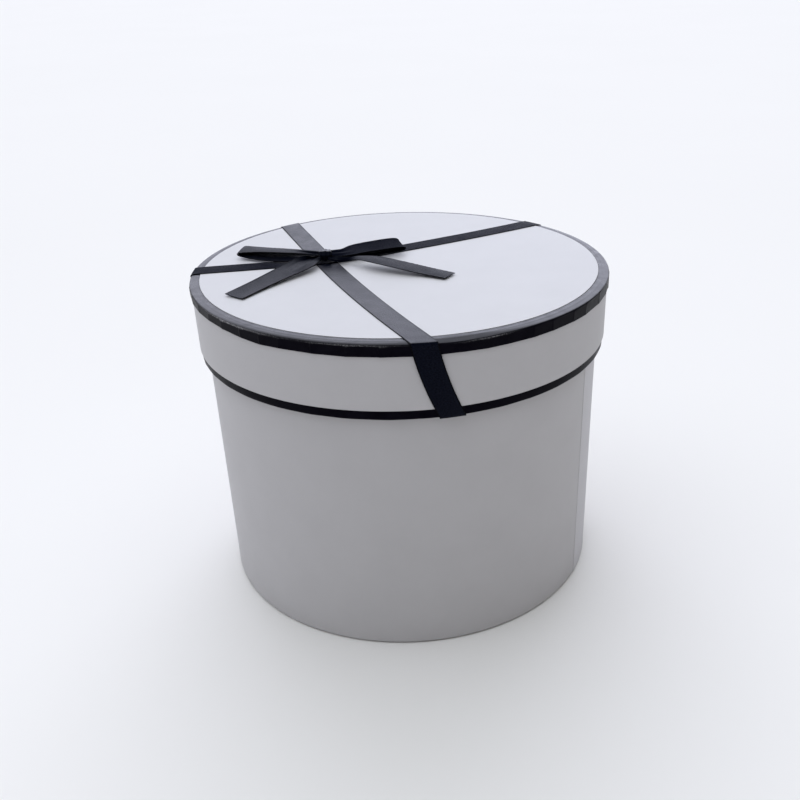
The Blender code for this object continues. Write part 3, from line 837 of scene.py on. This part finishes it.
# --- bow: millimetres from the middle of the lid's top face ------------------------------------------
# Each piece is drawn by its far edge and its near edge, with matching points along them.  These lists
# are not driving dimensions: a scratch program worked them out, through the fitted camera, from places
# that were read off the photograph and a chosen height for each.  Part of LEFT_TAIL_NEAR is given one
# by one.
LEFT_LOOP_FAR = [(-44.0, 11.3, 5.6), (-48.2, 12.3, 5.8), (-54.5, 15.7, 5.6), (-61.9, 19.6, 5.2),
                 (-73.5, 24.1, 4.9), (-82.5, 28.4, 4.6), (-87.7, 30.7, 4.4), (-88.7, 28.7, 4.1),
                 (-85.7, 28.1, 3.7), (-73.2, 22.9, 3.8), (-59.8, 17.2, 3.8), (-51.2, 13.5, 3.7),
                 (-44.1, 10.8, 3.6)]
LEFT_LOOP_NEAR = [(-44.0, 8.7, 3.9), (-48.7, 10.0, 4.0), (-54.3, 11.3, 4.5), (-61.2, 11.8, 5.1),
                  (-72.3, 13.7, 5.3), (-81.1, 17.2, 4.6), (-89.8, 19.8, 3.6), (-91.2, 19.6, 2.9),
                  (-88.8, 18.6, 1.9), (-76.7, 12.4, 1.3), (-62.0, 8.4, 1.4), (-52.1, 8.1, 1.9),
                  (-44.0, 7.5, 2.8)]
RIGHT_LOOP_FAR = [(-39.7, 13.2, 5.0), (-36.2, 13.6, 5.2), (-32.6, 15.2, 5.4), (-28.8, 19.1, 6.0),
                  (-23.6, 21.9, 6.4), (-15.1, 24.6, 6.9), (-6.5, 27.5, 7.1), (-2.0, 28.0, 6.9),
                  (-0.8, 26.5, 5.9), (-3.9, 26.6, 5.4), (-15.8, 23.5, 5.0), (-26.9, 17.2, 4.6),
                  (-39.8, 11.5, 3.7)]
RIGHT_LOOP_NEAR = [(-39.4, 5.8, 4.4), (-35.3, 5.3, 4.2), (-30.4, 6.9, 4.0), (-25.0, 8.8, 4.0),
                   (-20.4, 10.8, 4.2), (-12.6, 13.2, 4.5), (-4.0, 15.6, 4.8), (2.2, 18.0, 4.5),
                   (3.1, 18.9, 3.4), (1.0, 19.4, 2.1), (-12.5, 15.5, 1.3), (-24.7, 10.2, 1.3),
                   (-39.5, 5.8, 2.6)]
LEFT_TAIL_FAR = [(-43.7, 6.3, 5.2), (-47.5, 2.5, 5.6), (-51.3, 3.2, 6.2), (-57.0, 1.9, 5.0),
                 (-66.7, -9.5, 3.4), (-78.2, -26.2, 2.2), (-89.0, -41.1, 1.3)]
LEFT_TAIL_NEAR = [(-43.7, 4.2, 2.6), (-44.6, 0.8, 2.7), (-46.3, -5.2, 2.9), (-50.7, -11.6, 2.6),
                  (-57.6, -18.9, 2.0), (-68.9, -32.9, 1.1), (-79.1, -48.2, 0.8)]
LEFT_TAIL_VALLEY = [(-43.8, 5.9, 4.2), (-48.0, 4.6, 4.4), (-51.5, 2.7, 4.1), (-55.8, -0.5, 3.6)]
LEFT_TAIL_CREASE = [(-43.7, 5.0, 4.8), (-47.2, 2.1, 4.6), (-49.4, -3.1, 4.3), (-53.3, -9.2, 3.6)]
RIGHT_TAIL_FAR = [(-39.5, 7.6, 4.2), (-34.7, 5.0, 4.6), (-28.9, 2.3, 4.9), (-21.4, 2.8, 5.0),
                  (-10.7, 1.4, 4.6), (4.5, -5.8, 3.0), (16.5, -11.9, 1.6), (28.6, -19.8, 0.9)]
RIGHT_TAIL_NEAR = [(-39.4, 4.4, 2.6), (-35.1, 3.3, 2.0), (-29.8, 1.9, 2.3), (-23.1, -1.9, 4.2),
                   (-13.0, -10.3, 4.4), (0.5, -17.7, 3.0), (11.5, -22.3, 1.6), (22.5, -28.3, 0.9)]


def smooth_through(points, steps):
    """Catmull-Rom curve through points given in millimetres, with steps between each two."""
    spaced = [Vector(point) * MM + Vector((0.0, 0.0, TOP)) for point in points]
    guard = [spaced[0] * 2.0 - spaced[1]] + spaced + [spaced[-1] * 2.0 - spaced[-2]]
    curve = []
    for before, start, end, after in zip(guard, guard[1:], guard[2:], guard[3:]):
        for step in range(steps):
            t = step / steps
            curve.append(0.5 * (2.0 * start + (end - before) * t
                                + (2.0 * before - 5.0 * start + 4.0 * end - after) * t ** 2
                                + (3.0 * start - before - 3.0 * end + after) * t ** 3))
    curve.append(spaced[-1])
    return curve


def folded_lines(far, near, lines):
    """Add the folds' own lines, which run out onto the straight chord, between the two edges."""
    edges = [(-1.0, near), (1.0, far)]
    for place, line in lines:
        share = (place + 1.0) / 2.0
        rest = [tuple(Vector(a).lerp(Vector(b), share)) for a, b in zip(near, far)]
        edges.append((place, line + rest[len(line):]))
    return sorted(edges, key=lambda edge: edge[0])


def across_lines(lines, place):
    """Point at a place across a row, on the straight piece between the lines on either side."""
    for (low, start), (high, end) in zip(lines, lines[1:]):
        if place <= high:
            return start.lerp(end, (place - low) / (high - low))
    return lines[-1][1]


def bow_sheet(name, node, far_points, near_points, folds, material, lines=()):
    """One ply or tail of the bow; folds(share, place) gives its pleats' height off the chord."""
    steps = 14
    drawn = [(place, smooth_through(line, steps))
             for place, line in folded_lines(far_points, near_points, lines)]
    far = drawn[-1][1]
    near = drawn[0][1]
    places = across_steps(22)
    middle = [(a + b) / 2.0 for a, b in zip(far, near)]
    rows = []
    last = len(far) - 1
    for index, (a, b) in enumerate(zip(far, near)):
        ahead = middle[min(index + 1, last)] - middle[max(index - 1, 0)]
        normal = ahead.cross(a - b).normalized()
        here = [(place, line[index]) for place, line in drawn]
        rows.append([across_lines(here, place) + normal * folds(index / last, place)
                     for place in places])
    obj, length = ribbon_sheet(name, rows, places, material, loops=True)
    piece(obj, "lid", "black_satin", node)
    return obj


def loop_folds(count, height, lean):
    """Pleats of a loop: deep at the knot on both plies, and gone two thirds of the way out."""
    def folds(share, place):
        from_knot = min(share, 1.0 - share) * 2.0
        fade = 1.0 - smoothstep(0.05, 0.62, from_knot)
        wave = math.cos(math.pi * count * (place + lean * from_knot) / 2.0)
        return height * fade * wave - 0.25 * MM * (1.0 - place * place) * (1.0 - fade)
    return folds


def tail_folds(height, ridge, reach, belly):
    """A tail is pinched at the knot, with a sharp ridge along it that soon runs out."""
    def folds(share, place):
        fade = 1.0 - smoothstep(0.5 * reach, reach, share)
        crease = math.exp(-((place - ridge) / 0.07) ** 2)
        return height * fade * crease + belly * (1.0 - place * place)
    return folds


# Section of the knot, cut across it, in millimetres: (y, z, fillet radius).
KNOT_SECTION = ((0.0, -2.5, 0.0), (-3.7, -2.5, 0.7), (-4.0, 0.7, 0.5), (-2.0, 2.7, 0.4),
                (2.5, 2.6, 0.6), (4.0, -0.4, 0.8), (3.4, -2.5, 0.6), (0.0, -2.5, 0.0))


def bow_knot_wrap():
    """The tight wrapped middle of the bow: a flat-sided band, gathered as it was pulled round."""
    section = divided(filleted(KNOT_SECTION, steps=4), 0.3, -9.0)[:-1]
    sides = len(section)
    slices = 40
    middle = KNOT + Vector((0.5, 0.0, 0.2)) * MM
    half_length = 3.5 * MM
    points = []
    rings = []
    flat = []
    for i in range(slices + 1):
        share = -1.0 + 2.0 * i / slices
        swell = math.sqrt(max(0.0, 1.0 - abs(share) ** 4.0 * 0.45))
        ring = []
        for j, (y, z) in enumerate(section):
            turn = TURN * j / sides
            gather = 0.05 * math.cos(math.pi * 2.6 * share + 0.8 * math.sin(turn + 0.5))
            gather += 0.03 * math.cos(math.pi * 6.0 * share + 1.5 * math.cos(turn))
            reach = swell * (0.97 + gather) * MM
            ring.append(len(points))
            points.append((middle.x + half_length * share, middle.y + y * reach,
                           middle.z + z * reach))
            flat.append(((share + 1.0) / 2.0, 2.2 * j / sides))
        rings.append(ring)
    faces = []
    for this, after in zip(rings, rings[1:]):
        for a, b, c, d in zip(this, this[1:] + this[:1], after[1:] + after[:1], after):
            faces.append((a, b, c, d))
    faces.append(tuple(rings[0]))
    faces.append(tuple(reversed(rings[-1])))
    obj = make_object("bow_knot_wrap", points, faces, BOW_SATIN, flat)
    return piece(obj, "lid", "black_satin", "bow_knot")


def bow():
    bow_knot_wrap()
    bow_sheet("left_loop_ribbon", "bow_left_loop", LEFT_LOOP_FAR, LEFT_LOOP_NEAR,
              loop_folds(3.0, 0.3 * MM, 0.3), BOW_SATIN)
    bow_sheet("right_loop_ribbon", "bow_right_loop", RIGHT_LOOP_FAR, RIGHT_LOOP_NEAR,
              loop_folds(4.0, 0.5 * MM, 0.5), DULL_SATIN)
    bow_sheet("left_tail_ribbon", "bow_left_tail", LEFT_TAIL_FAR, LEFT_TAIL_NEAR,
              tail_folds(0.35 * MM, -0.4, 0.40, 0.2 * MM), BOW_SATIN,
              lines=((-0.4, LEFT_TAIL_CREASE), (0.25, LEFT_TAIL_VALLEY)))
    bow_sheet("right_tail_ribbon", "bow_right_tail", RIGHT_TAIL_FAR, RIGHT_TAIL_NEAR,
              tail_folds(0.30 * MM, -0.3, 0.25, 0.25 * MM), BOW_SATIN)


# --- camera, lights and floor -------------------------------------------------------------------------
def look_from(distance, elevation, roll, aim_right, aim_up):
    """Camera matrix: aimed at the lid's middle, rolled, then turned off it by two slopes."""
    target = Vector((0.0, 0.0, TOP))
    back = Vector((0.0, -math.cos(elevation), math.sin(elevation)))
    place = target + back * distance
    right = Vector((1.0, 0.0, 0.0))
    up = right.cross(-back)
    right_rolled = right * math.cos(roll) + up * math.sin(roll)
    up_rolled = up * math.cos(roll) - right * math.sin(roll)
    forward = (-back + right_rolled * aim_right + up_rolled * aim_up).normalized()
    right_final = forward.cross(up_rolled).normalized()
    up_final = right_final.cross(forward)
    turn = Matrix((right_final, up_final, -forward)).transposed().to_4x4()
    return Matrix.Translation(place) @ turn


def add_camera():
    """The photograph's camera: its values come from a fit to the box's outlines."""
    data = bpy.data.cameras.new("camera")
    data.sensor_width = 36.0
    data.lens = 41.15
    data.shift_x = -0.0613
    data.shift_y = 0.0528
    data.clip_start = 0.01
    data.clip_end = 200.0
    camera = bpy.data.objects.new("camera", data)
    camera.matrix_world = look_from(510.5 * MM, math.radians(17.655), math.radians(-1.946),
                                    0.0518, -0.1941)
    bpy.context.scene.collection.objects.link(camera)
    bpy.context.scene.camera = camera


def lobe(tree, direction, towards, reach, core):
    """How much a direction lies within a soft cone: 1 in its core, 0 past its reach (degrees)."""
    cosine = add(tree, "ShaderNodeVectorMath", {"operation": "DOT_PRODUCT"}, i0=direction,
                 i1=Vector(towards).normalized()).outputs["Value"]
    return add(tree, "ShaderNodeMapRange", {"interpolation_type": "SMOOTHERSTEP"}, i0=cosine,
               i1=math.cos(math.radians(reach)), i2=math.cos(math.radians(core)),
               i3=0.0, i4=1.0).outputs[0]


# Soft lights of the studio dome: direction, reach and core in degrees, colour and strength.
DOME_LIGHTS = (
    ((-0.02, 1.0, 0.45), 44.0, 15.0, (0.89, 0.91, 1.08), 1.92),
    ((-0.16, 0.10, 1.0), 75.0, 10.0, (0.92, 0.96, 1.03), 1.40),
    ((0.45, 1.0, 0.32), 30.0, 5.0, (0.89, 0.93, 1.10), 0.5),
    ((-1.0, -0.10, 0.40), 55.0, 10.0, (0.75, 0.82, 1.15), 0.05),
    ((0.90, -0.50, 0.10), 70.0, 10.0, (1.0, 0.85, 0.55), 0.05),
)
AMBIENT = 0.035


def add_studio():
    floor = make_object("floor", [(-60.0, -60.0, 0.0), (60.0, -60.0, 0.0), (60.0, 60.0, 0.0),
                                  (-60.0, 60.0, 0.0)], [(0, 1, 2, 3)], pale_floor("pale_floor"))
    floor.location.z = -0.05 * MM

    world = bpy.data.worlds.new("studio")
    world.use_nodes = True
    bpy.context.scene.world = world
    tree = world.node_tree
    tree.nodes.clear()
    direction = add(tree, "ShaderNodeTexCoord").outputs["Generated"]
    light = add(tree, "ShaderNodeBackground", Color=(1.0, 0.96, 0.92, 1.0), Strength=AMBIENT)
    for towards, reach, core, colour, strength in DOME_LIGHTS:
        inside = lobe(tree, direction, towards, reach, core)
        power = add(tree, "ShaderNodeMath", {"operation": "MULTIPLY"}, i0=inside, i1=strength)
        glow = add(tree, "ShaderNodeBackground", Color=(*colour, 1.0), Strength=power.outputs[0])
        light = add(tree, "ShaderNodeAddShader", i0=light.outputs[0], i1=glow.outputs[0])
    seen = add(tree, "ShaderNodeBackground", Color=(1.0, 1.0, 1.0, 1.0), Strength=1.0)
    rays = add(tree, "ShaderNodeLightPath")
    mix = add(tree, "ShaderNodeMixShader", i0=rays.outputs["Is Camera Ray"],
              i1=light.outputs[0], i2=seen.outputs[0])
    out = add(tree, "ShaderNodeOutputWorld")
    tree.links.new(mix.outputs[0], out.inputs["Surface"])
    bpy.context.scene.view_settings.view_transform = "Standard"


def dress_hidden_boards():
    """The greyboard parts keep their CAD shape under the papers and get their fibres."""
    for node in ("base_wall_board", "base_floor_board", "lid_top_board", "lid_wall_board"):
        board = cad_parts[node]
        board.data.materials.clear()
        board.data.materials.append(GREYBOARD)


add_camera()
add_studio()
dress_hidden_boards()
base_papers()
lid_papers()
lid_ribbon("long_satin_ribbon", "long_ribbon", LONG_ANGLES, LONG_HUMP, LONG_BOWS, LONG_SIDE_BOWS,
           SATIN)
lid_ribbon("cross_satin_ribbon", "cross_ribbon", CROSS_ANGLES, CROSS_HUMP, CROSS_BOWS,
           CROSS_SIDE_BOWS, DULL_SATIN)
bow()
